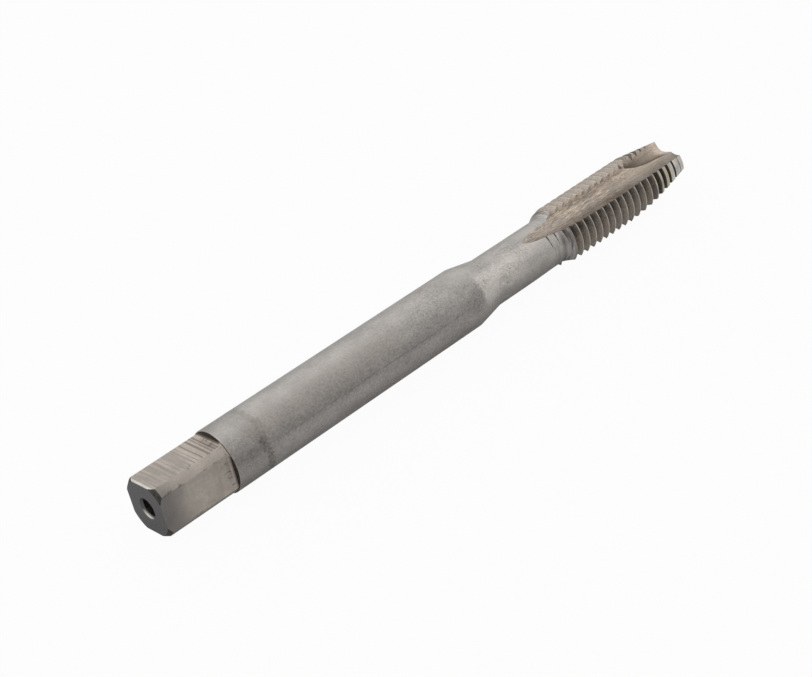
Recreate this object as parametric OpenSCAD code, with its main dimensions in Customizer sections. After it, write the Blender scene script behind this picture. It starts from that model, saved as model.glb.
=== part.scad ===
// Machine thread tap, M8 x 1.25, right hand, with a spiral point, three straight
// flutes, a reduced neck and a drive square. It is ground from one bar, so it is one node.
// Units are millimetres. The tap lies on the floor (z = 0) along X, with the drive
// square toward -X and the cutting end toward +X, and the box's middle over the origin.

/* [Shank and drive square] */

// Whole length, drive end to tip (mm)
overall_length = 88; // [84:0.5:96]
// Diameter of the plain shank (mm)
shank_diameter = 8; // [7.8:0.1:9]
// Drive end to the front end of the full shank (mm)
shank_end = 48.7; // [40:0.1:52]
// Drive square, size across its flats (mm)
square_across_flats = 6.2; // [5.8:0.05:6.4]
// Drive end to the shoulder behind the square (mm)
square_length = 9.7; // [8:0.1:12]
// Radius in the run-out at the front end of each flat (mm)
square_runout_radius = 0.45; // [0.3:0.05:0.7]
// Diameter that the square's corners are turned to (mm)
square_corner_diameter = 7.66; // [7.4:0.02:7.7]
// Direction that one flat of the square faces, turned about the tap's axis (degrees)
square_turn = 72; // [0:1:89]
// Radial size of the cone turned on the square's corners at the drive end (mm)
drive_chamfer = 0.4; // [0.2:0.05:0.55]
// Half angle of that cone, from the tap's axis (degrees)
drive_chamfer_angle = 40; // [30:1:60]

/* [Neck] */

// Diameter of the reduced neck (mm)
neck_diameter = 6.48; // [6.2:0.02:6.6]
// Length of the cone from the shank down to the neck (mm)
neck_cone_length = 4; // [2:0.1:6]

/* [Thread] */

// Major diameter of the thread, a little over the shank's as on a real tap (mm)
thread_diameter = 8.04; // [7.9:0.02:8.1]
// Pitch of the thread (mm)
pitch = 1.25; // [1:0.25:1.25]
// Depth of the thread, crest to root (mm)
thread_depth = 0.79; // [0.55:0.01:0.8]
// Width of the flat left on each crest (mm)
crest_flat = 0.16; // [0.12:0.01:0.3]
// Drive end to the start of the cone that rises from the neck to the thread (mm)
thread_start = 64; // [62:0.1:68]
// Length of that cone (mm)
thread_cone_length = 1.5; // [0.8:0.1:2.5]
// End of that cone to the first land's first root (mm)
first_root_gap = 0.5; // [0:0.05:1]
// Length of the tapered lead at the tip (mm)
lead_length = 7; // [4:0.1:9]
// Diameter of the lead at the tip (mm)
tip_diameter = 6.3; // [6:0.05:6.6]
// Depth of the grinding wheel's light run-out marks on the neck, at each land's heel (mm)
runout_mark_depth = 0.14; // [0.04:0.01:0.2]
// Turn over which such a mark fades out round the neck (degrees)
runout_mark_turn = 33; // [20:1:40]

/* [Flutes] */

// Number of flutes
flute_count = 3; // [3:1:4]
// Radius of the round flute form (mm)
flute_radius = 1.7; // [1.2:0.05:1.8]
// Depth of a flute below the thread's outside (mm)
flute_depth = 1.75; // [1.4:0.05:1.9]
// Direction of the first flute, turned about the tap's axis (degrees)
flute_turn = 107; // [0:1:119]
// Drive end to where the flutes reach their full depth (mm)
flute_full_from = 74.4; // [70:0.1:76]
// Radius of the wheel that grinds the flutes (mm)
flute_wheel_radius = 107; // [70:1:120]
// Lean of the wheel's lift from the flute's middle toward its cutting edge (degrees)
flute_lift_lean = 36; // [0:1:45]

/* [Spiral point] */

// Length of the spiral point, tip to where it leaves the cutting edge (mm)
spiral_point_length = 11; // [7:0.1:12]
// Angle of the spiral point's ground face to the tap's axis (degrees)
spiral_point_angle = 12; // [8:0.5:13]
// Radius in the bottom of the spiral point's groove (mm)
spiral_point_radius = 1.2; // [0.6:0.05:1.4]
// Core diameter at the spiral point's floor (mm)
spiral_point_core = 3.2; // [3:0.02:4]
// Slope of that floor, falling from the groove toward the heel (degrees)
spiral_point_floor = 22; // [16:1:30]

/* [Centre holes] */

// Diameter of the drive end's centre hole at its mouth (mm)
drive_centre_mouth = 2.7; // [2.5:0.02:3]
// Diameter of its straight bore (mm)
drive_centre_bore = 2.3; // [1.4:0.05:2.4]
// Depth of that bore's straight wall from the drive end (mm)
drive_centre_depth = 4; // [2.5:0.1:6]
// Diameter of the tip's centre hole at its mouth (mm)
tip_centre_mouth = 1.5; // [1.2:0.05:1.8]
// Diameter of its straight bore (mm)
tip_centre_bore = 0.8; // [0.6:0.05:1]
// Depth of that bore's straight wall from the tip (mm)
tip_centre_depth = 1.8; // [1:0.1:3]

/* [Hidden] */

$fn = 72;

steel = [0.62, 0.61, 0.59];
over = 2;
arc_steps = 8;

shank_r = shank_diameter / 2;
neck_r = neck_diameter / 2;
thread_r = thread_diameter / 2;
tip_r = tip_diameter / 2;
root_r = thread_r - thread_depth;
root_flat = pitch - crest_flat - 2 * thread_depth * tan(30);

// The flute's circle, and where it opens on the thread's outside.
flute_out = thread_r - flute_depth + flute_radius;
flute_half = acos((flute_out * flute_out + thread_r * thread_r - flute_radius * flute_radius)
    / (2 * flute_out * thread_r));
flute_step = 360 / flute_count;
land_half = flute_step / 2 - flute_half;

// The lead angle of the thread at its mean diameter.
lead_angle = atan(pitch / (PI * (thread_diameter - thread_depth)));
// One root's place on the first land. The other lands follow it by parts of a pitch.
first_root = thread_start + thread_cone_length + first_root_gap;
root_count = floor((overall_length - first_root) / pitch) + 1;
// How far a groove's ends run into the flutes beside it, and a mark's start into its flute.
groove_lap = 7;
mark_lap = 12;
mark_flat = 0.06;
// Turns the blank so that its seam isn't on the line that the tap lies on.
blank_turn = 3.75;

// All tools below stand along Z, drive end at z = 0, and the whole tap is laid down last.

// The blank as it is turned, before the flats, flutes and thread are cut.
module round_blank() {
    chamfer_length = drive_chamfer / tan(drive_chamfer_angle);
    corner_r = square_corner_diameter / 2;
    rotate([0, 0, blank_turn])
        rotate_extrude()
            polygon([
                [0, 0],
                [corner_r - drive_chamfer, 0],
                [corner_r, chamfer_length],
                [corner_r, square_length],
                [shank_r, square_length],
                [shank_r, shank_end],
                [neck_r, shank_end + neck_cone_length],
                [neck_r, thread_start],
                [thread_r, thread_start + thread_cone_length],
                [thread_r, overall_length - lead_length],
                [tip_r, overall_length],
                [0, overall_length]
            ]);
}

// What is cut away beside one flat of the square: a slab with a round run-out.
module flat_cut() {
    flat = square_across_flats / 2;
    reach = shank_diameter;
    runout = square_runout_radius;
    translate([0, reach, 0])
        rotate([90, 0, 0])
            linear_extrude(height = 2 * reach)
                polygon(concat(
                    [[flat, -over], [reach, -over], [reach, square_length]],
                    [
                        for (i = [0 : arc_steps])
                            let (a = 90 * i / arc_steps)
                                [flat + runout * (1 - sin(a)), square_length - runout * (1 - cos(a))]
                    ]
                ));
}

module square_cut() {
    for (side = [0 : 3])
        rotate([0, 0, square_turn + 90 * side])
            flat_cut();
}

// One thread groove over one land: a V form turned through part of a circle and tipped
// by the lead angle about the middle of the land.
module thread_groove() {
    sector = land_half + groove_lap;
    top = thread_depth / 2;
    half_top = root_flat / 2 + (thread_depth + top) * tan(30);
    rotate([lead_angle, 0, 0])
        rotate([0, 0, -sector])
            rotate_extrude(angle = 2 * sector)
                polygon([
                    [root_r, -root_flat / 2],
                    [thread_r + top, -half_top],
                    [thread_r + top, half_top],
                    [root_r, root_flat / 2]
                ]);
}

// A run-out mark: a V at the heel of a land, which fades round the neck or the cone
// because its circle is set off the axis. Its bottom rises from low_r to high_r.
module runout_mark(low_r, high_r) {
    half = runout_mark_turn / 2;
    bottom = (low_r + high_r) / 2;
    set_off = (high_r - low_r) / (2 * sin(half));
    tall = thread_r - low_r + thread_depth / 2;
    sector = half + groove_lap;
    rotate([lead_angle, 0, 0])
        rotate([0, 0, half - land_half - mark_lap])
            translate([0, set_off, 0])
                rotate([0, 0, -sector])
                    rotate_extrude(angle = 2 * sector)
                        polygon([
                            [bottom, -mark_flat / 2],
                            [bottom + tall, -mark_flat / 2 - tall * tan(30)],
                            [bottom + tall, mark_flat / 2 + tall * tan(30)],
                            [bottom, mark_flat / 2]
                        ]);
}

module thread_cut() {
    full_from = thread_start + 0.6 * thread_cone_length;
    mid_cone = (neck_r + thread_r) / 2;
    for (land = [0 : flute_count - 1])
        rotate([0, 0, flute_turn + flute_step * (land + 0.5)])
            for (k = [-4 : root_count - 1]) {
                place = first_root + pitch * (k + land / flute_count);
                translate([0, 0, place]) {
                    if (place > full_from)
                        thread_groove();
                    else if (place > thread_start)
                        runout_mark(root_r, mid_cone);
                    else if (place > thread_start - 2 * pitch)
                        runout_mark(neck_r - runout_mark_depth, neck_r);
                }
            }
}

// One flute: straight at full depth, then lifting out of the neck on the wheel's circle.
module flute() {
    lift = -flute_lift_lean;
    sweep = 14;
    translate([flute_out, 0, flute_full_from])
        cylinder(r = flute_radius, h = overall_length - flute_full_from + over);
    translate([
        flute_out + flute_wheel_radius * cos(lift),
        flute_wheel_radius * sin(lift),
        flute_full_from
    ])
        rotate([-90, 0, lift + 180])
            rotate_extrude(angle = sweep)
                translate([flute_wheel_radius, 0])
                    circle(r = flute_radius);
}

// The spiral point's groove in one flute: a flat cutting face set at an angle to the
// axis, a round bottom and a sloping floor that runs out into the flute.
module spiral_point() {
    face_start = thread_r * cos(2 * flute_half);
    face_tip = face_start - spiral_point_length * tan(spiral_point_angle);
    round_r = spiral_point_radius;
    floor_a = spiral_point_floor;
    round_b = (spiral_point_core / 2 + round_r - round_r * sin(floor_a)
        - face_tip * sin(floor_a)) / cos(floor_a);
    reach = thread_diameter;
    end_a = round_r - round_r * sin(floor_a) + reach * cos(floor_a);
    end_b = round_b - round_r * cos(floor_a) - reach * sin(floor_a);
    back = spiral_point_length + thread_r;
    rotate([0, 0, flute_half])
        translate([face_tip, 0, overall_length])
            rotate([0, -spiral_point_angle, 0])
                translate([0, 0, -back])
                    linear_extrude(height = back + over)
                        polygon(concat(
                            [
                                [0, -round_b - reach],
                                [end_a, -round_b - reach],
                                [end_a, -end_b]
                            ],
                            [
                                for (i = [0 : arc_steps])
                                    let (a = 90 + floor_a + (90 - floor_a) * i / arc_steps)
                                        [round_r + round_r * cos(a), -round_b + round_r * sin(a)]
                            ]
                        ));
}

module centre_hole(mouth, bore, depth) {
    sink = (mouth - bore) / 2 / tan(30);
    translate([0, 0, -over])
        cylinder(r = bore / 2, h = depth + over);
    translate([0, 0, depth])
        cylinder(r1 = bore / 2, r2 = 0, h = bore / 2 / tan(60));
    rotate_extrude()
        polygon([
            [0, -over],
            [mouth / 2 + over * tan(30), -over],
            [bore / 2, sink],
            [0, sink]
        ]);
}

module tap_standing() {
    difference() {
        round_blank();
        square_cut();
        for (k = [0 : flute_count - 1])
            rotate([0, 0, flute_turn + flute_step * k]) {
                flute();
                spiral_point();
            }
        thread_cut();
        centre_hole(drive_centre_mouth, drive_centre_bore, drive_centre_depth);
        translate([0, 0, overall_length])
            rotate([180, 0, 0])
                centre_hole(tip_centre_mouth, tip_centre_bore, tip_centre_depth);
    }
}

module thread_tap() {
    color(steel)
        translate([-overall_length / 2, 0, max(shank_r, thread_r)])
            rotate([90, 0, 90])
                tap_standing();
}

thread_tap();
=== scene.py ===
import math

import bmesh
import bpy
from bpy.props import FloatProperty
from bpy.props import FloatVectorProperty
from bpy.props import PointerProperty
from mathutils import Matrix
from mathutils import Vector


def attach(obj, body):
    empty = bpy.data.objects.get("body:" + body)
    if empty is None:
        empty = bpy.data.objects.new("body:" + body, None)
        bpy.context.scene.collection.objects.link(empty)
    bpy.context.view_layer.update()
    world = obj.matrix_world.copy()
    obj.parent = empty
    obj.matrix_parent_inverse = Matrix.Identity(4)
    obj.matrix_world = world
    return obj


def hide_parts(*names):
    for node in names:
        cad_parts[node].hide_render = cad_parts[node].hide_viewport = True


bl_info = {
    "name": "Thread tap",
    "version": (1, 0, 0),
    "blender": (4, 5, 0),
    "location": "View3D > Sidebar > Tap",
    "description": "Finishes a machine tap in ground steel and sets up its studio",
    "category": "Object",
}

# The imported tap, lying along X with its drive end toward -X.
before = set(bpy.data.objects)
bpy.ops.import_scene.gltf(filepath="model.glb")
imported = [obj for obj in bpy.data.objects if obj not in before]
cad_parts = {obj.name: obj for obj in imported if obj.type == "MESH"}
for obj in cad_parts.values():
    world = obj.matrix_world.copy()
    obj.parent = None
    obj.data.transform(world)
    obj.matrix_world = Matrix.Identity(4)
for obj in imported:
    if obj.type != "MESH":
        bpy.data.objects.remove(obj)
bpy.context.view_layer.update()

# The model is in metres. Places along the tap, from its drive end, and its radii are given
# here in millimetres.
TO_MM = 1000.0
MICRON = 0.000001
LENGTH = 88.0
AXIS_HEIGHT = 4.02
SQUARE_LENGTH = 9.7
CORNER_RADIUS = 3.83
SHANK_RADIUS = 4.0
SHANK_END = 48.7
NECK_START = 52.7
NECK_RADIUS = 3.24
FLUTE_START = 57.0
MARKS_START = 60.0
THREAD_START = 64.0
CONE_END = 65.5
THREAD_RADIUS = 4.02
ROOT_RADIUS = 3.23
LEAD_START = 81.0
TIP_RADIUS = 3.15
# The centre holes, the drive end's and the tip's, lie within these.
HOLE_RADIUS = 1.5
TIP_HOLE_RADIUS = 0.85
TIP_HOLE_START = 84.0
# The thread's pitch, and the place of one groove's bottom on the first land.
PITCH = 1.25
FIRST_ROOT = 66.833
# How far the round form of a flute has its middle from the tap's axis.
FLUTE_OUT = 3.97
# Directions about the axis, in degrees from +Y toward +Z.
FLAT_TURN = 72.0
FLUTE_TURN = 107.0
LAND_TURN = 47.0
LAND_STEP = 120.0
# Where the old stain rings the shank, and the turns of the neck's pale side, of the shank's
# warm tone and of the line that drags along it.
STAIN_PLACE = 14.1
PALE_TURN = 134.0
WARM_TURN = 117.0
DRAG_TURN = 151.0

# Tones of stains, wear and heat, and of the painted shade in the spiral point's ridge.
OLD_STAIN = (0.1, 0.08, 0.062)
WARM_TONE = (0.31, 0.25, 0.2)
DRAG_LINE = (0.16, 0.145, 0.13)
RUST = (0.22, 0.145, 0.095)
OLD_OIL = (0.09, 0.062, 0.045)
WORN_BRIGHT = (0.78, 0.75, 0.7)
RIDGE_PAINTED_SHADE = (0.12, 0.088, 0.06)
HEAT_STRAW = (0.78, 0.68, 0.4)
HEAT_BLUE = (0.4, 0.45, 0.58)

# The studio, in metres. The low side of the room toward the camera is dim.
FLOOR_SIZE = 3.0
SOFTBOX_SIZE = 0.4
SOFTBOX_PLACE = (-0.1, 0.18, 0.4)
DIM_SIDE = (0.15, -0.985, 0.0)
WHITE = (1.0, 1.0, 1.0, 1.0)
PAPER = (0.58, 0.58, 0.58)
# How much of its own white the floor shows to the camera and to the steel, and how much of
# the room's white the steel sees.
FLOOR_SEEN = 0.96
FLOOR_IN_STEEL = 0.15
ROOM_IN_STEEL = 0.1


class TapColours(bpy.types.PropertyGroup):
    """Colours of the steel where each tool has left it."""

    ground: FloatVectorProperty(
        name="Ground shank",
        description="Shank and neck, ground round",
        default=(0.465, 0.439, 0.416),
        subtype="COLOR",
        min=0.0,
        max=1.0,
    )
    neck: FloatVectorProperty(
        name="Neck",
        description="The side of the neck and its cone that is pale",
        default=(0.78, 0.735, 0.685),
        subtype="COLOR",
        min=0.0,
        max=1.0,
    )
    milled: FloatVectorProperty(
        name="Milled flats",
        description="The four flats of the drive square",
        default=(0.49, 0.44, 0.39),
        subtype="COLOR",
        min=0.0,
        max=1.0,
    )
    turned: FloatVectorProperty(
        name="Turned ends",
        description="End faces and centre holes",
        default=(0.16, 0.153, 0.155),
        subtype="COLOR",
        min=0.0,
        max=1.0,
    )
    scale: FloatVectorProperty(
        name="Scale",
        description="Dark scale on the shoulder's wall and on the corners' cones",
        default=(0.075, 0.07, 0.064),
        subtype="COLOR",
        min=0.0,
        max=1.0,
    )
    flute: FloatVectorProperty(
        name="Flutes",
        description="Flutes and spiral point, ground along the tap",
        default=(0.5, 0.43, 0.362),
        subtype="COLOR",
        min=0.0,
        max=1.0,
    )
    thread: FloatVectorProperty(
        name="Thread flanks",
        description="Flanks and roots of the thread",
        default=(0.4, 0.351, 0.307),
        subtype="COLOR",
        min=0.0,
        max=1.0,
    )
    crest: FloatVectorProperty(
        name="Thread crests",
        description="Crests of the thread and the tapered lead",
        default=(0.58, 0.55, 0.5),
        subtype="COLOR",
        min=0.0,
        max=1.0,
    )
    soot: FloatVectorProperty(
        name="Soot",
        description="Burnt oil behind each land's heel, and the dark of pits, chips and nicks",
        default=(0.05, 0.042, 0.036),
        subtype="COLOR",
        min=0.0,
        max=1.0,
    )


class TapFinish(bpy.types.PropertyGroup):
    """How the tap's edges are broken and how deep its tool marks are."""

    edge_break: FloatProperty(
        name="Edge break",
        description="Width of the light round on the square's edges and the shoulder",
        default=0.00007,
        min=0.00001,
        max=0.0002,
        unit="LENGTH",
        precision=5,
    )
    mark_depth: FloatProperty(
        name="Tool mark depth",
        description="Depth of the deepest milling lines on the flats",
        default=0.00002,
        min=0.0,
        max=0.0001,
        unit="LENGTH",
        precision=5,
    )


class TapStudio(bpy.types.PropertyGroup):
    """The camera and the light."""

    lens: FloatProperty(
        name="Lens",
        description="Focal length of the camera",
        default=77.357,
        min=20.0,
        max=200.0,
        unit="CAMERA",
    )
    camera_place: FloatVectorProperty(
        name="Camera place",
        description="Where the camera stands",
        default=(-0.11414, -0.10631, 0.14357),
        subtype="TRANSLATION",
        precision=5,
    )
    camera_aim: FloatVectorProperty(
        name="Camera aim",
        description="The direction that the camera looks in",
        default=(0.5278, 0.5137, -0.6764),
        subtype="DIRECTION",
        precision=4,
    )
    camera_right: FloatVectorProperty(
        name="Camera right",
        description="The direction that is level in the picture, to the right",
        default=(0.7058, -0.7083, 0.0127),
        subtype="DIRECTION",
        precision=4,
    )
    lamp_power: FloatProperty(
        name="Lamp power",
        description="Power of the softbox behind the tap",
        default=0.25,
        min=0.0,
        max=5.0,
        unit="POWER",
    )
    room_light: FloatProperty(
        name="Room light",
        description="Strength of the pale room's light",
        default=1.0,
        min=0.0,
        max=2.0,
    )


def deselect_all():
    """Leaves object mode with nothing selected."""
    if bpy.context.mode != "OBJECT":
        bpy.ops.object.mode_set(mode="OBJECT")
    bpy.ops.object.select_all(action="DESELECT")


class Wiring:
    """A node tree whose nodes are added one at a time and joined as they come."""

    def __init__(self, tree):
        self.tree = tree

    def put(self, socket, value):
        """Joins a socket to another node's output, or sets it."""
        if isinstance(value, bpy.types.NodeSocket):
            self.tree.links.new(value, socket)
        else:
            socket.default_value = value

    def node(self, kind, **settings):
        """Adds a node with its own settings."""
        made = self.tree.nodes.new(kind)
        for key, value in settings.items():
            setattr(made, key, value)
        return made

    def parts(self, vector):
        """The X, Y and Z of a place."""
        split = self.node("ShaderNodeSeparateXYZ")
        self.put(split.inputs[0], vector)
        return split.outputs[0], split.outputs[1], split.outputs[2]

    def join(self, x, y, z):
        """A vector from three numbers."""
        made = self.node("ShaderNodeCombineXYZ")
        self.put(made.inputs[0], x)
        self.put(made.inputs[1], y)
        self.put(made.inputs[2], z)
        return made.outputs[0]

    def math(self, operation, first, second=0.0):
        """One step of arithmetic on one or two numbers."""
        made = self.node("ShaderNodeMath", operation=operation)
        self.put(made.inputs[0], first)
        self.put(made.inputs[1], second)
        return made.outputs[0]

    def times(self, first, *others):
        """A product of two numbers or more."""
        for other in others:
            first = self.math("MULTIPLY", first, other)
        return first

    def plus(self, first, second):
        """A sum."""
        return self.math("ADD", first, second)

    def minus(self, first, second):
        """A difference."""
        return self.math("SUBTRACT", first, second)

    def size(self, value):
        """A number without its sign."""
        return self.math("ABSOLUTE", value)

    def greater(self, first, second):
        """The greater of two numbers."""
        return self.math("MAXIMUM", first, second)

    def power(self, base, exponent):
        """A number to the power of another. A power under 1 makes a shade fainter."""
        return self.math("POWER", base, exponent)

    def span(self, value, low, high, to_low=0.0, to_high=1.0, smooth=True):
        """Turns low to high into to_low to to_high, and holds it outside them."""
        made = self.node("ShaderNodeMapRange")
        made.interpolation_type = "SMOOTHSTEP" if smooth else "LINEAR"
        self.put(made.inputs["Value"], value)
        self.put(made.inputs["From Min"], low)
        self.put(made.inputs["From Max"], high)
        self.put(made.inputs["To Min"], to_low)
        self.put(made.inputs["To Max"], to_high)
        return made.outputs["Result"]

    def between(self, share, first, second):
        """One number laid over another. A Mix node has its numbers at sockets 2 and 3."""
        made = self.node("ShaderNodeMix")
        self.put(made.inputs[0], share)
        self.put(made.inputs[2], first)
        self.put(made.inputs[3], second)
        return made.outputs[0]


class Recipe(Wiring):
    """A material, made from patterns laid over one another."""

    def __init__(self, name):
        self.material = bpy.data.materials.new(name)
        self.material.use_nodes = True
        super().__init__(self.material.node_tree)
        self.shader = self.tree.nodes["Principled BSDF"]

    def noise(self, vector, scale, detail=2.0, roughness=0.5, distortion=0.0):
        """Soft random values from 0 to 1."""
        made = self.node("ShaderNodeTexNoise")
        self.put(made.inputs["Vector"], vector)
        self.put(made.inputs["Scale"], scale)
        self.put(made.inputs["Detail"], detail)
        self.put(made.inputs["Roughness"], roughness)
        self.put(made.inputs["Distortion"], distortion)
        return made.outputs["Fac"]

    @staticmethod
    def opaque(colour):
        """A colour with its fourth value, or a socket as it is."""
        if isinstance(colour, bpy.types.NodeSocket):
            return colour
        red, green, blue = colour[:3]
        return (red, green, blue, 1.0)

    def mix(self, factor, first, second, blend="MIX"):
        """One colour laid over another. A Mix node has its colours at sockets 6 and 7."""
        made = self.node("ShaderNodeMix", data_type="RGBA", blend_type=blend)
        self.put(made.inputs[0], factor)
        self.put(made.inputs[6], self.opaque(first))
        self.put(made.inputs[7], self.opaque(second))
        return made.outputs[2]

    def shade(self, colour, amount):
        """A colour times a number that varies over the surface."""
        return self.mix(1.0, colour, self.join(amount, amount, amount), "MULTIPLY")


class Steel(Recipe):
    """A bare steel that follows the place on the tap, in millimetres and degrees."""

    def __init__(self, name):
        super().__init__(name)
        where = self.node("ShaderNodeTexCoord").outputs["Object"]
        to_mm = self.node("ShaderNodeMapping")
        self.put(to_mm.inputs["Vector"], where)
        self.put(to_mm.inputs["Location"], (LENGTH / 2, 0.0, -AXIS_HEIGHT))
        self.put(to_mm.inputs["Scale"], (TO_MM, TO_MM, TO_MM))
        self.place = to_mm.outputs["Vector"]
        self.along, self.across, self.up = self.parts(self.place)

    def grains(self, scale, detail, roughness):
        """Random values that are alike in every direction."""
        return self.noise(self.place, scale, detail, roughness)

    def streaks(self, pulls, detail=2.0, roughness=0.5, distortion=0.0):
        """Random values pulled into lines or rings, with one pull each for X, Y and Z."""
        pulled = self.node("ShaderNodeMapping")
        self.put(pulled.inputs["Vector"], self.place)
        self.put(pulled.inputs["Scale"], pulls)
        return self.noise(pulled.outputs["Vector"], 1.0, detail, roughness, distortion)

    def radius(self):
        """The distance from the tap's axis."""
        made = self.node("ShaderNodeVectorMath", operation="LENGTH")
        self.put(made.inputs[0], self.join(0.0, self.across, self.up))
        return made.outputs["Value"]

    def turn(self):
        """The direction about the axis in degrees, from +Y toward +Z."""
        return self.math("DEGREES", self.math("ARCTAN2", self.up, self.across))

    def nearest(self, turn, first):
        """The turn in degrees from the nearest of three directions, one of which is first."""
        whole = self.minus(turn, first - LAND_STEP / 2 - 360.0)
        return self.minus(self.math("MODULO", whole, LAND_STEP), LAND_STEP / 2)

    def flat_axes(self):
        """How far a place is toward the top flat and toward the side flat."""
        turn = math.radians(FLAT_TURN)
        top = self.times(self.across, math.cos(turn))
        top = self.plus(top, self.times(self.up, math.sin(turn)))
        side = self.times(self.across, -math.sin(turn))
        side = self.plus(side, self.times(self.up, math.cos(turn)))
        return top, side

    def knocks(self, low, high):
        """Patches where an edge of the square has been knocked."""
        return self.span(self.streaks((0.7, 1.2, 1.2), 4.0, 0.75), low, high)

    def bump(self, height, distance, strength=1.0, under=None):
        """Small relief, on top of the relief under it."""
        made = self.node("ShaderNodeBump")
        self.put(made.inputs["Strength"], strength)
        self.put(made.inputs["Distance"], distance)
        self.put(made.inputs["Height"], height)
        if under is not None:
            self.put(made.inputs["Normal"], under)
        return made.outputs["Normal"]

    def finish(self, colour, roughness, normal):
        """Wires the look into the shader, as bare metal."""
        self.put(self.shader.inputs["Metallic"], 1.0)
        self.put(self.shader.inputs["Base Color"], colour)
        self.put(self.shader.inputs["Roughness"], roughness)
        self.put(self.shader.inputs["Normal"], normal)
        return self.material


# The steels. A number that bounds a place is in millimetres from the drive end or from the
# axis, or in degrees about it, and the other numbers are shares of 1.


def frosting(make, slim, patch):
    """How frosted the ground steel is, in soft patches, most of all toward the neck."""
    near_neck = make.span(make.along, 16.0, 44.0, 0.25, 0.95)
    on_shank = make.times(make.span(patch, 0.4, 0.56), near_neck)
    on_neck = make.times(slim, make.span(patch, 0.35, 0.6, 0.25, 0.95))
    frost = make.greater(on_shank, on_neck)
    frost = make.times(frost, make.span(make.along, 57.0, 60.0, 1.0, 0.55))
    return make.greater(frost, 0.22)


def speckle(make, grain, frost, slim):
    """The shade of the grain, stronger on the frosted steel and the shank's front."""
    front = make.span(make.across, -0.6, -2.2, 0.5, 0.85)
    front = make.times(front, make.span(slim, 0.0, 1.0, 1.0, 0.55))
    calm_corners = make.span(make.along, SQUARE_LENGTH, SQUARE_LENGTH + 0.1, 0.4, 1.0)
    strength = make.times(make.greater(frost, front), calm_corners)
    return make.power(make.span(grain, 0.32, 0.68, 0.72, 1.28, False), strength)


def pale_side(make, turn, slim, patch):
    """The side of the neck that the grinding fluid left pale."""
    off = make.plus(make.size(make.minus(turn, PALE_TURN)), make.span(patch, 0.3, 0.7, 6.0, -6.0))
    return make.times(
        make.span(off, 14.0, 42.0, 0.9, 0.06),
        slim,
        make.span(make.along, THREAD_START + 0.1, THREAD_START - 0.4),
        make.span(make.along, 54.0, 60.0, 1.0, 0.72),
    )


def warm_tone(make, turn, clouds):
    """A faint warm tone along the shank's upper side."""
    return make.times(
        make.span(make.size(make.minus(turn, WARM_TURN)), 10.0, 32.0, 1.0, 0.0),
        make.span(make.along, 11.0, 14.0),
        make.span(make.along, 38.0, 33.0),
        make.span(clouds, 0.25, 0.6, 0.5, 1.0),
    )


def from_stain(make):
    """How far a place is past the old stain's wavering line round the shank."""
    sway = make.span(make.streaks((0.0, 0.3, 0.3)), 0.2, 0.8, -0.8, 0.8, False)
    shore = make.span(make.grains(2.6, 4.0, 0.75), 0.2, 0.8, -0.7, 0.7, False)
    return make.minus(make.plus(make.plus(make.along, sway), shore), STAIN_PLACE)


def drag_line(make, turn, torn):
    """A faint line that drags along the shank and breaks off in places."""
    wander = make.span(make.streaks((0.12, 0.0, 0.0)), 0.2, 0.8, -3.5, 3.5, False)
    off = make.size(make.minus(make.plus(turn, wander), DRAG_TURN))
    return make.times(
        make.span(off, 0.5, 1.9, 1.0, 0.0),
        make.span(torn, 0.0, 1.0, 0.35, 1.0),
        make.span(make.along, 12.0, 20.0),
        make.span(make.along, 48.0, 44.0),
    )


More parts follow.
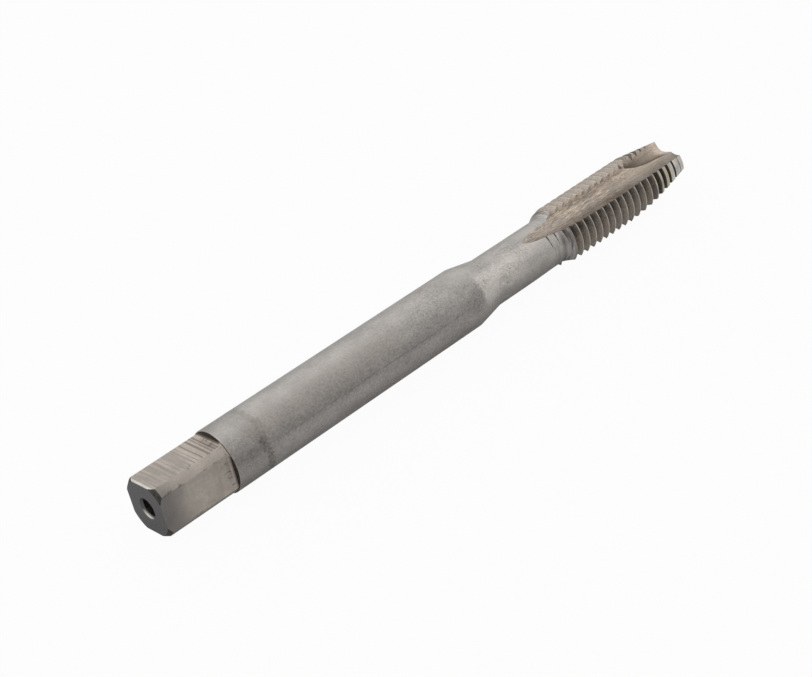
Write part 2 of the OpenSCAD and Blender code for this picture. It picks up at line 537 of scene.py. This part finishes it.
def ground_steel(colours):
    """Shank, neck and cones: fine rings, soft clouds, frosted specks and old stains."""
    make = Steel("ground_steel")
    along = make.along
    turn = make.turn()
    slim = make.span(along, SHANK_END, SHANK_END + 0.9)
    rings = make.streaks((7.0, 0.3, 0.3))
    grain = make.grains(4.0, 3.0, 0.7)
    clouds = make.streaks((0.3, 0.45, 0.45), 3.0, 0.6)
    patch = make.streaks((0.2, 0.35, 0.35), 3.0, 0.6)
    torn = make.span(make.grains(0.9, 3.0, 0.7), 0.4, 0.58)
    frost = frosting(make, slim, patch)
    colour = make.mix(pale_side(make, turn, slim, patch), colours.ground, colours.neck)
    square = make.span(along, SQUARE_LENGTH + 0.06, SQUARE_LENGTH + 0.02)
    colour = make.mix(square, colour, colours.milled)
    colour = make.shade(colour, make.span(clouds, 0.3, 0.7, 0.9, 1.07))
    # The corners of the square are duller toward the drive end, and nicked along their edges.
    dull = make.times(make.span(along, 3.2, 0.6, 0.0, 0.5), square)
    colour = make.mix(dull, colour, colours.turned)
    top, side = make.flat_axes()
    by_edge = make.greater(make.size(top), make.size(side))
    nick = make.times(make.knocks(0.53, 0.64), make.span(by_edge, 2.86, 3.06), square)
    colour = make.mix(make.times(nick, 0.65), colour, colours.scale)
    # The collar where the thread starts is dark, ringed and chipped.
    collar = make.span(along, THREAD_START - 2.6, THREAD_START - 0.2, 0.0, 1.0)
    ringed = make.span(make.streaks((3.6, 0.12, 0.12), 2.0, 0.6), 0.36, 0.56, 0.66, 1.06)
    colour = make.shade(colour, make.power(ringed, collar))
    chips = make.span(make.streaks((3.2, 0.5, 0.5), 4.0, 0.7), 0.48, 0.66)
    chips = make.times(chips, make.span(along, THREAD_START, THREAD_START + 0.8, 0.0, 0.6))
    colour = make.mix(chips, colour, colours.soot)
    colour = make.shade(colour, speckle(make, grain, frost, slim))
    pits = make.span(make.grains(2.2, 4.0, 0.8), 0.59, 0.67)
    pits = make.times(pits, make.span(frost, 0.3, 0.8))
    colour = make.mix(make.times(pits, 0.5), colour, colours.soot)
    colour = make.mix(make.times(warm_tone(make, turn, clouds), 0.3), colour, WARM_TONE)
    # An old stain rings the shank behind the square, darkest low on its front, and the
    # steel between it and the shoulder is washed duller.
    off = from_stain(make)
    low = make.span(make.across, -2.35, -3.1)
    stain = make.times(
        make.span(make.size(off), 0.15, 0.65, 1.0, 0.0),
        make.span(torn, 0.0, 1.0, 0.6, 1.0),
        make.span(low, 0.0, 1.0, 0.45, 1.0),
    )
    colour = make.mix(make.times(stain, 0.55), colour, OLD_STAIN)
    past_shoulder = make.span(along, SQUARE_LENGTH, SQUARE_LENGTH + 0.2)
    washed = make.times(make.span(off, 0.3, -0.6), past_shoulder)
    colour = make.shade(colour, make.span(washed, 0.0, 1.0, 1.0, 0.88))
    colour = make.mix(make.times(drag_line(make, turn, torn), 0.32), colour, DRAG_LINE)
    # The underside is painted darker: painted shade for the shadowed floor that it reflects.
    colour = make.shade(colour, make.span(make.up, 1.2, -1.2, 1.0, 0.8))
    roughness = make.span(grain, 0.3, 0.7, 0.32, 0.4)
    roughness = make.plus(roughness, make.times(frost, 0.18))
    roughness = make.plus(roughness, make.times(stain, 0.12))
    relief = make.bump(rings, 4 * MICRON)
    sparkle = make.times(make.minus(grain, 0.5), frost)
    relief = make.bump(sparkle, 50 * MICRON, 0.6, relief)
    relief = make.bump(make.minus(1.0, pits), 20 * MICRON, 0.7, relief)
    return make.finish(colour, roughness, relief)


def milling_lines(make, top, smears):
    """One line for each turn of the cutter, swaying a little and fading in places."""
    coarse = make.streaks((1.3, 0.05, 0.05), 1.0, 0.5)
    fine = make.streaks((6.0, 0.12, 0.12), 2.0, 0.6)
    phase = make.plus(make.times(make.along, 10.2), make.times(coarse, 9.0))
    feed = make.times(
        make.span(make.math("SINE", phase), 0.2, 1.0, 0.0, -0.5),
        make.span(smears, 0.3, 0.6, 0.25, 1.0),
        make.span(make.along, 4.5, 8.6, 0.5, 1.4),
    )
    line = make.plus(feed, make.minus(fine, 0.5))
    return make.times(line, make.span(top, 0.0, 1.0, 0.14, 1.0))


def milled_steel(colours, depth):
    """The flats: lines across the tap, deepest by the shoulder, on warm grey steel."""
    make = Steel("milled_steel")
    along = make.along
    toward_top, toward_side = make.flat_axes()
    top = make.span(toward_top, 2.9, 3.05)
    smears = make.streaks((0.5, 0.25, 0.5), 3.0, 0.55, 0.4)
    grain = make.grains(4.5, 3.0, 0.7)
    line = milling_lines(make, top, smears)
    colour = make.shade(colours.milled, make.span(line, -0.5, 0.25, 0.66, 1.14, False))
    colour = make.shade(colour, make.span(top, 0.0, 1.0, 1.24, 1.02))
    colour = make.shade(colour, make.span(smears, 0.3, 0.7, 0.8, 1.1))
    colour = make.shade(colour, make.span(grain, 0.3, 0.7, 0.93, 1.06))
    colour = make.mix(make.times(make.span(line, -0.25, -0.6), 0.5), colour, RUST)
    # The flats that were handled are duller toward the drive end, and nicked at the edges.
    dull = make.times(
        make.span(along, 4.8, 0.4, 0.0, 0.8),
        make.span(top, 1.0, 0.0),
        make.span(smears, 0.3, 0.65, 0.82, 1.0),
    )
    colour = make.mix(dull, colour, colours.turned)
    by_edge = make.math("MINIMUM", make.size(toward_top), make.size(toward_side))
    nick = make.times(make.knocks(0.5, 0.62), make.span(by_edge, 2.02, 2.2, 0.0, 0.6))
    colour = make.mix(nick, colour, colours.scale)
    # The top flat's end is worn bright.
    worn = make.times(make.span(along, 0.42, 0.24), top, make.span(smears, 0.25, 0.5, 0.35, 0.9))
    colour = make.mix(worn, colour, WORN_BRIGHT)
    # The cutter dragged in the run-out, and old oil sits there.
    drag = make.span(make.streaks((0.9, 1.6, 1.6), 3.0, 0.7, 0.6), 0.56, 0.64)
    drag = make.times(drag, make.span(along, 7.8, 9.4, 0.0, 0.55))
    oil = make.greater(make.span(along, 9.4, 9.65, 0.0, 0.8), drag)
    colour = make.mix(oil, colour, OLD_OIL)
    roughness = make.span(smears, 0.3, 0.7, 0.34, 0.46)
    relief = make.bump(line, depth)
    relief = make.bump(grain, 10 * MICRON, 0.5, relief)
    return make.finish(colour, roughness, relief)


def scale_steel(colours):
    """Shoulder's wall and corners' cones: dark scale with turned rings rubbed bright."""
    make = Steel("scale_steel")
    rings = make.noise(make.join(make.times(make.radius(), 6.0), 0.0, 0.0), 1.0, 2.0)
    grain = make.grains(4.0, 3.0, 0.65)
    rubbed = make.times(make.span(rings, 0.55, 0.7), make.span(grain, 0.4, 0.6))
    colour = make.shade(colours.scale, make.span(grain, 0.3, 0.7, 0.7, 1.3))
    colour = make.mix(make.times(rubbed, 0.35), colour, colours.turned)
    roughness = make.span(grain, 0.3, 0.7, 0.45, 0.6)
    relief = make.bump(rings, 8 * MICRON)
    return make.finish(colour, roughness, relief)


def turned_steel(colours):
    """End faces and centre holes: dark, with rings round the axis."""
    make = Steel("turned_steel")
    out = make.radius()
    rings = make.noise(make.join(make.times(make.along, 3.0), make.times(out, 7.0), 0.0), 1.0, 2.0)
    grain = make.grains(4.0, 3.0, 0.65)
    colour = make.shade(colours.turned, make.span(rings, 0.3, 0.7, 0.85, 1.12))
    colour = make.shade(colour, make.span(grain, 0.3, 0.7, 0.88, 1.1))
    # The drive end's hole gets a painted highlight low on its rim, where its lip would catch the
    # light from above.
    lip_highlight = make.times(
        make.span(out, 1.19, 1.26),
        make.span(out, 1.38, 1.34),
        make.span(make.along, 0.02, 0.06),
        make.span(make.up, -0.75, -1.2),
    )
    colour = make.mix(lip_highlight, colour, colours.crest)
    roughness = make.span(grain, 0.3, 0.7, 0.38, 0.5)
    relief = make.bump(rings, 6 * MICRON)
    relief = make.bump(grain, 8 * MICRON, 0.5, relief)
    return make.finish(colour, roughness, relief)


def spiral_ridge_painted_shade(make, from_flute):
    """Painted shade along the ridge where the spiral point leaves the round of the flute."""
    out = make.radius()
    turned = make.math("COSINE", make.math("RADIANS", from_flute))
    squares = make.plus(make.times(out, out), FLUTE_OUT * FLUTE_OUT)
    twice = make.times(out, turned, 2.0 * FLUTE_OUT)
    from_middle = make.math("SQRT", make.minus(squares, twice))
    reach = make.span(make.along, 80.0, 86.0, 2.8, 3.9)
    return make.times(
        make.span(from_middle, 1.705, 1.75),
        make.span(from_middle, reach, 1.72),
        make.span(make.along, 76.5, 78.5),
        make.span(make.along, LENGTH, 86.2),
    )


def flute_steel(colours):
    """Flutes and spiral point: tan, with long lines along the tap, painted lightest beside the
    cutting edge and with painted shade in the spiral point's ridge.
    """
    make = Steel("flute_steel")
    along = make.along
    long_lines = make.streaks((0.3, 3.6, 3.6), 3.0, 0.65, 0.2)
    fine_lines = make.streaks((1.1, 8.0, 8.0), 3.0, 0.7)
    clouds = make.grains(0.45, 3.0, 0.6)
    grain = make.grains(5.0, 3.0, 0.7)
    nicks = make.span(make.streaks((2.0, 3.2, 3.2), 3.0, 0.7), 0.6, 0.68)
    # Each flute is painted lighter beside its cutting edge and darker beside the heel: a painted
    # sheen and shade for how its curved walls catch the light.
    from_flute = make.nearest(make.turn(), FLUTE_TURN)
    flute_sheen_and_shade = make.span(from_flute, -18.0, 21.0, 1.5, 0.62)
    flute_sheen_and_shade = make.times(flute_sheen_and_shade, make.span(from_flute, -24.0, -10.0, 1.25, 1.0))
    colour = make.shade(colours.flute, flute_sheen_and_shade)
    colour = make.shade(colour, make.span(along, 58.0, 66.0, 0.8, 1.0))
    # The lines are fainter in the spiral point.
    calm = make.span(along, 76.0, 80.0, 1.0, 0.4)
    long_shade = make.span(long_lines, 0.32, 0.66, 0.68, 1.14, False)
    colour = make.shade(colour, make.power(long_shade, calm))
    fine_shade = make.span(fine_lines, 0.3, 0.7, 0.62, 1.24)
    colour = make.shade(colour, make.power(fine_shade, calm))
    colour = make.mix(make.span(clouds, 0.4, 0.7, 0.0, 0.4), colour, colours.ground)
    colour = make.mix(make.times(nicks, 0.5), colour, colours.soot)
    # The ridge where the spiral point leaves the flute is painted with shade.
    colour = make.mix(make.times(spiral_ridge_painted_shade(make, from_flute), 0.9), colour, RIDGE_PAINTED_SHADE)
    roughness = make.span(grain, 0.3, 0.7, 0.54, 0.68)
    relief = make.bump(long_lines, 40 * MICRON, 0.8)
    relief = make.bump(fine_lines, 12 * MICRON, 0.8, relief)
    return make.finish(colour, roughness, relief)


def thread_steel(colours):
    """Flanks and roots: brown grey, sooty behind each land's heel, with rubbed specks."""
    make = Steel("thread_steel")
    turn = make.turn()
    sweep = make.grains(1.2, 3.0, 0.6)
    from_land = make.nearest(turn, LAND_TURN)
    from_land = make.plus(from_land, make.span(sweep, 0.2, 0.8, -9.0, 9.0))
    in_lead = make.span(make.along, LEAD_START - 1.5, LEAD_START + 2.0, 0.0, 0.75)
    sooty = make.greater(make.span(from_land, -8.0, -32.0, 0.0, 0.5), in_lead)
    grain = make.grains(4.0, 4.0, 0.7)
    specks = make.span(make.grains(3.2, 3.0, 0.7), 0.64, 0.74)
    colour = make.shade(colours.thread, make.span(grain, 0.3, 0.7, 0.78, 1.2))
    colour = make.mix(sooty, colour, colours.soot)
    # One land, the one facing up, is painted paler than the other two: a painted sheen for the sky
    # that it reflects.
    from_first = make.size(make.minus(turn, LAND_TURN))
    colour = make.shade(colour, make.span(from_first, 38.0, 46.0, 1.4, 1.0))
    colour = make.mix(make.times(specks, 0.35), colour, colours.crest)
    roughness = make.span(grain, 0.3, 0.7, 0.4, 0.55)
    relief = make.bump(grain, 15 * MICRON, 0.7)
    return make.finish(colour, roughness, relief)


def crest_steel(colours):
    """Crests and lead: bright where they rub, with faint straw and blue near the tip."""
    make = Steel("crest_steel")
    along = make.along
    grain = make.grains(4.0, 3.0, 0.7)
    wear = make.grains(1.0, 3.0, 0.6)
    colour = make.shade(colours.crest, make.span(wear, 0.3, 0.7, 0.8, 1.15))
    colour = make.shade(colour, make.span(along, 84.0, 86.5, 1.0, 1.5))
    heat = make.streaks((1.4, 0.8, 0.8), 1.0)
    heated = make.mix(make.span(heat, 0.46, 0.58, 0.0, 0.5), colour, HEAT_STRAW)
    heated = make.mix(make.span(heat, 0.44, 0.34, 0.0, 0.3), heated, HEAT_BLUE)
    colour = make.mix(make.span(along, LEAD_START - 1.0, LEAD_START + 1.0), colour, heated)
    # The thread's last turn only scratches the tip.
    climb = make.times(make.minus(make.turn(), LAND_TURN), PITCH / 360.0)
    off = make.minus(make.minus(along, climb), FIRST_ROOT - PITCH / 2)
    off = make.minus(make.math("MODULO", off, PITCH), PITCH / 2)
    on_tip = make.span(along, 87.0, 87.2)
    scratch = make.times(make.span(make.size(off), 0.03, 0.19, 1.0, 0.0), on_tip)
    colour = make.mix(make.times(scratch, 0.6), colour, colours.soot)
    roughness = make.span(grain, 0.3, 0.7, 0.3, 0.42)
    relief = make.bump(grain, 8 * MICRON, 0.6)
    relief = make.bump(make.minus(1.0, scratch), 30 * MICRON, 0.8, relief)
    return make.finish(colour, roughness, relief)


# The turned outline of the blank: place along the tap and radius, in millimetres.
OUTLINE = (
    (0.0, CORNER_RADIUS),
    (SQUARE_LENGTH, CORNER_RADIUS),
    (SQUARE_LENGTH, SHANK_RADIUS),
    (SHANK_END, SHANK_RADIUS),
    (NECK_START, NECK_RADIUS),
    (THREAD_START, NECK_RADIUS),
    (CONE_END, THREAD_RADIUS),
    (LEAD_START, THREAD_RADIUS),
    (LENGTH, TIP_RADIUS),
)


def turned_radius(along):
    """The blank's radius at a place along the tap."""
    for (start, start_radius), (end, end_radius) in zip(OUTLINE, OUTLINE[1:]):
        if end > start and start <= along <= end:
            part = (along - start) / (end - start)
            return start_radius + part * (end_radius - start_radius)
    return 0.0


# The zones of the surface, in the order of their steels on the tap.
GROUND, MILLED, TURNED, SCALE, FLUTE, THREAD, CREST = range(7)


def zone_of_square(along, radius, normal, on_outline):
    """Which tool made a face of the drive square, its hole or its shoulder."""
    by_end = along < 2.0
    by_shoulder = along > 9.0
    if by_shoulder and radius > CORNER_RADIUS + 0.05:
        return GROUND
    if by_shoulder and normal.x < -0.8:
        return SCALE
    # The light cones that end the corners.
    if by_end and radius > 2.5 and -0.9 < normal.x < -0.5:
        return SCALE
    if (by_end and normal.x < -0.4) or radius < HOLE_RADIUS:
        return TURNED
    turn = math.degrees(math.atan2(normal.z, normal.y))
    off_flat = abs((turn - FLAT_TURN + 45.0) % 90.0 - 45.0)
    if off_flat < 3.0 and not (on_outline and radius > CORNER_RADIUS - 0.03):
        return MILLED
    return GROUND


def zone_of(face):
    """Which tool made a face, from its place and its direction."""
    centre = face.calc_center_median()
    along = centre.x * TO_MM + LENGTH / 2
    across = centre.y * TO_MM
    up = centre.z * TO_MM - AXIS_HEIGHT
    radius = math.hypot(across, up)
    normal = face.normal
    outward = (normal.y * across + normal.z * up) / max(radius, 0.001)
    on_outline = abs(radius - turned_radius(along)) < 0.04 and outward > 0.5
    if along < SQUARE_LENGTH + 0.01:
        return zone_of_square(along, radius, normal, on_outline)
    if along > LENGTH - 0.02 or (radius < TIP_HOLE_RADIUS and along > TIP_HOLE_START):
        return TURNED
    if on_outline:
        return CREST if along > CONE_END else GROUND
    # Flanks face along the tap, and a root lies at its own radius.
    if along > MARKS_START and (abs(normal.x) > 0.5 or abs(radius - ROOT_RADIUS) < 0.02):
        return THREAD
    if along > FLUTE_START:
        return FLUTE
    return TURNED if radius < HOLE_RADIUS else GROUND


def edge_reach(edge):
    """The place along X of an edge's farther end."""
    return max(corner.co.x for corner in edge.verts)


def on_rim(edge, shoulder):
    """Whether an edge is part of the shank's rim at the shoulder."""
    height = AXIS_HEIGHT / TO_MM
    rim = (SHANK_RADIUS - 0.03) / TO_MM
    for corner in edge.verts:
        place = corner.co
        if abs(place.x - shoulder) > 10 * MICRON:
            return False
        if math.hypot(place.y, place.z - height) < rim:
            return False
    return True


class TAP_OT_steel(bpy.types.Operator):
    """Copy the tap, break its edges and give each ground, milled and cut zone its steel"""

    bl_idname = "tap.steel"
    bl_label = "Tap in ground steel"

    def execute(self, context):
        colours = context.scene.tap_colours
        finish = context.scene.tap_finish
        tap = self.copy_node(context)
        self.break_edges(tap, finish.edge_break)
        self.assign_zones(tap, colours, finish.mark_depth)
        self.smooth(tap)
        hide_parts("thread_tap")
        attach(tap, "root")
        return {"FINISHED"}

    def copy_node(self, context):
        """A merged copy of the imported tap, with flat faces in one piece."""
        deselect_all()
        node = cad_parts["thread_tap"]
        node.select_set(True)
        context.view_layer.objects.active = node
        bpy.ops.object.duplicate()
        tap = context.view_layer.objects.active
        tap.name = "steel_tap"
        tap.data.name = "steel_tap"
        bpy.ops.mesh.customdata_custom_splitnormals_clear()
        bpy.ops.object.mode_set(mode="EDIT")
        bpy.ops.mesh.select_all(action="SELECT")
        bpy.ops.mesh.remove_doubles(threshold=MICRON)
        bpy.ops.mesh.dissolve_limited(angle_limit=math.radians(0.4))
        bpy.ops.object.mode_set(mode="OBJECT")
        return tap

    def break_edges(self, tap, width):
        """Rounds the outward edges of the square and the shoulder's rim."""
        shoulder = (SQUARE_LENGTH - LENGTH / 2) / TO_MM
        before = shoulder - 100 * MICRON
        self.bevel_where(tap, width, lambda edge: edge_reach(edge) < before)
        self.bevel_where(tap, width * 1.5, lambda edge: on_rim(edge, shoulder))

    def bevel_where(self, tap, width, wanted):
        """Bevels the sharp outward edges that a test picks."""
        bpy.ops.object.mode_set(mode="EDIT")
        bpy.ops.mesh.select_all(action="DESELECT")
        mesh = bmesh.from_edit_mesh(tap.data)
        mesh.select_mode = {"EDGE"}
        for edge in mesh.edges:
            if len(edge.link_faces) != 2:
                continue
            if edge.calc_face_angle_signed() > math.radians(24.0) and wanted(edge):
                edge.select = True
        mesh.select_flush_mode()
        bmesh.update_edit_mesh(tap.data)
        bpy.ops.mesh.bevel(offset=width, segments=2, profile=0.5, clamp_overlap=True)
        bpy.ops.object.mode_set(mode="OBJECT")

    def assign_zones(self, tap, colours, depth):
        """Gives every zone its own steel."""
        steels = (
            ground_steel(colours),
            milled_steel(colours, depth),
            turned_steel(colours),
            scale_steel(colours),
            flute_steel(colours),
            thread_steel(colours),
            crest_steel(colours),
        )
        tap.data.materials.clear()
        for steel in steels:
            tap.data.materials.append(steel)
        bpy.ops.object.mode_set(mode="EDIT")
        for zone in range(len(steels)):
            bpy.ops.mesh.select_all(action="DESELECT")
            mesh = bmesh.from_edit_mesh(tap.data)
            mesh.select_mode = {"FACE"}
            mesh.normal_update()
            for face in mesh.faces:
                face.select = zone_of(face) == zone
            bmesh.update_edit_mesh(tap.data)
            tap.active_material_index = zone
            bpy.ops.object.material_slot_assign()
        bpy.ops.object.mode_set(mode="OBJECT")

    def smooth(self, tap):
        """Smooth round faces, true flats and crisp edges."""
        bpy.ops.object.shade_smooth_by_angle(angle=math.radians(32.0))
        weigh = tap.modifiers.new("Flat faces stay flat", "WEIGHTED_NORMAL")
        weigh.keep_sharp = True
        bpy.ops.object.modifier_apply(modifier=weigh.name)


def floor_paint():
    """Matt white paper that stays white to the camera and keeps a soft shadow."""
    make = Recipe("white_paper")
    place = make.node("ShaderNodeTexCoord").outputs["Object"]
    fibre = make.noise(place, 900.0, 3.0, 0.6)
    paper = make.shade(PAPER, make.span(fibre, 0.3, 0.7, 0.99, 1.0))
    make.put(make.shader.inputs["Base Color"], paper)
    make.put(make.shader.inputs["Roughness"], 0.9)
    make.put(make.shader.inputs["Specular IOR Level"], 0.0)
    rays = make.node("ShaderNodeLightPath").outputs
    direct = make.times(rays["Is Camera Ray"], FLOOR_SEEN)
    shining = make.times(rays["Is Glossy Ray"], FLOOR_IN_STEEL)
    through = make.times(rays["Is Transmission Ray"], FLOOR_SEEN)
    white = make.node("ShaderNodeEmission")
    make.put(white.inputs["Color"], WHITE)
    make.put(white.inputs["Strength"], 1.0)
    blend = make.node("ShaderNodeMixShader")
    make.put(blend.inputs[0], make.plus(make.plus(direct, shining), through))
    make.put(blend.inputs[1], make.shader.outputs[0])
    make.put(blend.inputs[2], white.outputs[0])
    make.put(make.tree.nodes["Material Output"].inputs["Surface"], blend.outputs[0])
    return make.material


class TAP_OT_stage(bpy.types.Operator):
    """Lay a white floor, hang a softbox, light the room and set the camera"""

    bl_idname = "tap.stage"
    bl_label = "White studio"

    def execute(self, context):
        studio = context.scene.tap_studio
        deselect_all()
        self.lay_floor(context)
        self.light_room(context, studio.room_light)
        self.hang_softbox(context, studio.lamp_power)
        self.set_camera(context, studio)
        context.scene.view_settings.view_transform = "Standard"
        return {"FINISHED"}

    def lay_floor(self, context):
        """White paper for the tap to lie on."""
        bpy.ops.mesh.primitive_plane_add(size=FLOOR_SIZE, location=(0.0, 0.0, 0.0))
        floor = context.active_object
        floor.name = "paper_floor"
        floor.data.materials.append(floor_paint())

    def light_room(self, context, strength):
        """A pale room, brightest overhead and dimmer low down on the camera's side."""
        room = bpy.data.worlds.new("pale_room")
        room.use_nodes = True
        make = Wiring(room.node_tree)
        toward = make.node("ShaderNodeTexCoord").outputs["Generated"]
        _, deep, high = make.parts(toward)
        low_front = make.node("ShaderNodeVectorMath", operation="DOT_PRODUCT")
        make.put(low_front.inputs[0], toward)
        make.put(low_front.inputs[1], DIM_SIDE)
        level = make.times(
            make.span(high, 0.0, 0.6, 0.85, 1.0, False),
            make.span(deep, -1.0, 0.45, 0.37, 0.875, False),
            make.span(low_front.outputs["Value"], 0.81, 0.95, 1.12, 0.26),
            strength,
        )
        # The camera sees the room as white, so the floor's far edge hardly shows. The steel sees
        # that white in part.
        rays = make.node("ShaderNodeLightPath").outputs
        direct = make.plus(rays["Is Camera Ray"], rays["Is Transmission Ray"])
        shining = make.times(rays["Is Glossy Ray"], ROOM_IN_STEEL)
        seen = make.between(make.plus(shining, direct), level, 1.0)
        background = make.tree.nodes["Background"]
        make.put(background.inputs["Strength"], seen)
        make.put(background.inputs["Color"], WHITE)
        context.scene.world = room

    def hang_softbox(self, context, power):
        """One soft lamp, high behind the tap and past its drive end, turned toward it."""
        place = Vector(SOFTBOX_PLACE)
        turn = place.to_track_quat("Z", "Y").to_euler()
        bpy.ops.object.light_add(type="AREA", location=place, rotation=turn)
        lamp = context.active_object
        lamp.name = "softbox"
        lamp.data.shape = "SQUARE"
        lamp.data.size = SOFTBOX_SIZE
        lamp.data.energy = power

    def set_camera(self, context, studio):
        """A camera from its place, its aim and the direction that is level in the picture."""
        aim = Vector(studio.camera_aim).normalized()
        right = Vector(studio.camera_right)
        right = (right - aim * right.dot(aim)).normalized()
        up = right.cross(aim)
        turn = Matrix((right, up, -aim)).transposed().to_euler()
        bpy.ops.object.camera_add(location=studio.camera_place, rotation=turn)
        camera = context.active_object
        camera.name = "camera"
        camera.data.sensor_width = 36.0
        camera.data.lens = studio.lens
        camera.data.clip_start = 0.01
        context.scene.camera = camera


class TAP_PT_panel(bpy.types.Panel):
    """The tap's tools in the 3D view's sidebar."""

    bl_idname = "TAP_PT_panel"
    bl_label = "Thread tap"
    bl_space_type = "VIEW_3D"
    bl_region_type = "UI"
    bl_category = "Tap"

    def draw(self, context):
        layout = self.layout
        colours = context.scene.tap_colours
        for name in ("ground", "neck", "milled", "turned", "scale"):
            layout.prop(colours, name)
        for name in ("flute", "thread", "crest", "soot"):
            layout.prop(colours, name)
        finish = context.scene.tap_finish
        layout.prop(finish, "edge_break")
        layout.prop(finish, "mark_depth")
        layout.operator("tap.steel")
        studio = context.scene.tap_studio
        for name in ("lens", "camera_place", "camera_aim", "camera_right"):
            layout.prop(studio, name)
        for name in ("lamp_power", "room_light"):
            layout.prop(studio, name)
        layout.operator("tap.stage")


CLASSES = (TapColours, TapFinish, TapStudio, TAP_OT_steel, TAP_OT_stage, TAP_PT_panel)


def register():
    """Makes the settings, the operators and the panel known to Blender."""
    for made in CLASSES:
        bpy.utils.register_class(made)
    bpy.types.Scene.tap_colours = PointerProperty(type=TapColours)
    bpy.types.Scene.tap_finish = PointerProperty(type=TapFinish)
    bpy.types.Scene.tap_studio = PointerProperty(type=TapStudio)


def unregister():
    """Takes them out again, in the other order."""
    del bpy.types.Scene.tap_studio
    del bpy.types.Scene.tap_finish
    del bpy.types.Scene.tap_colours
    for made in reversed(CLASSES):
        bpy.utils.unregister_class(made)


def main():
    """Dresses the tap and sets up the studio."""
    register()
    bpy.ops.tap.steel()
    bpy.ops.tap.stage()


if __name__ == "__main__":
    main()
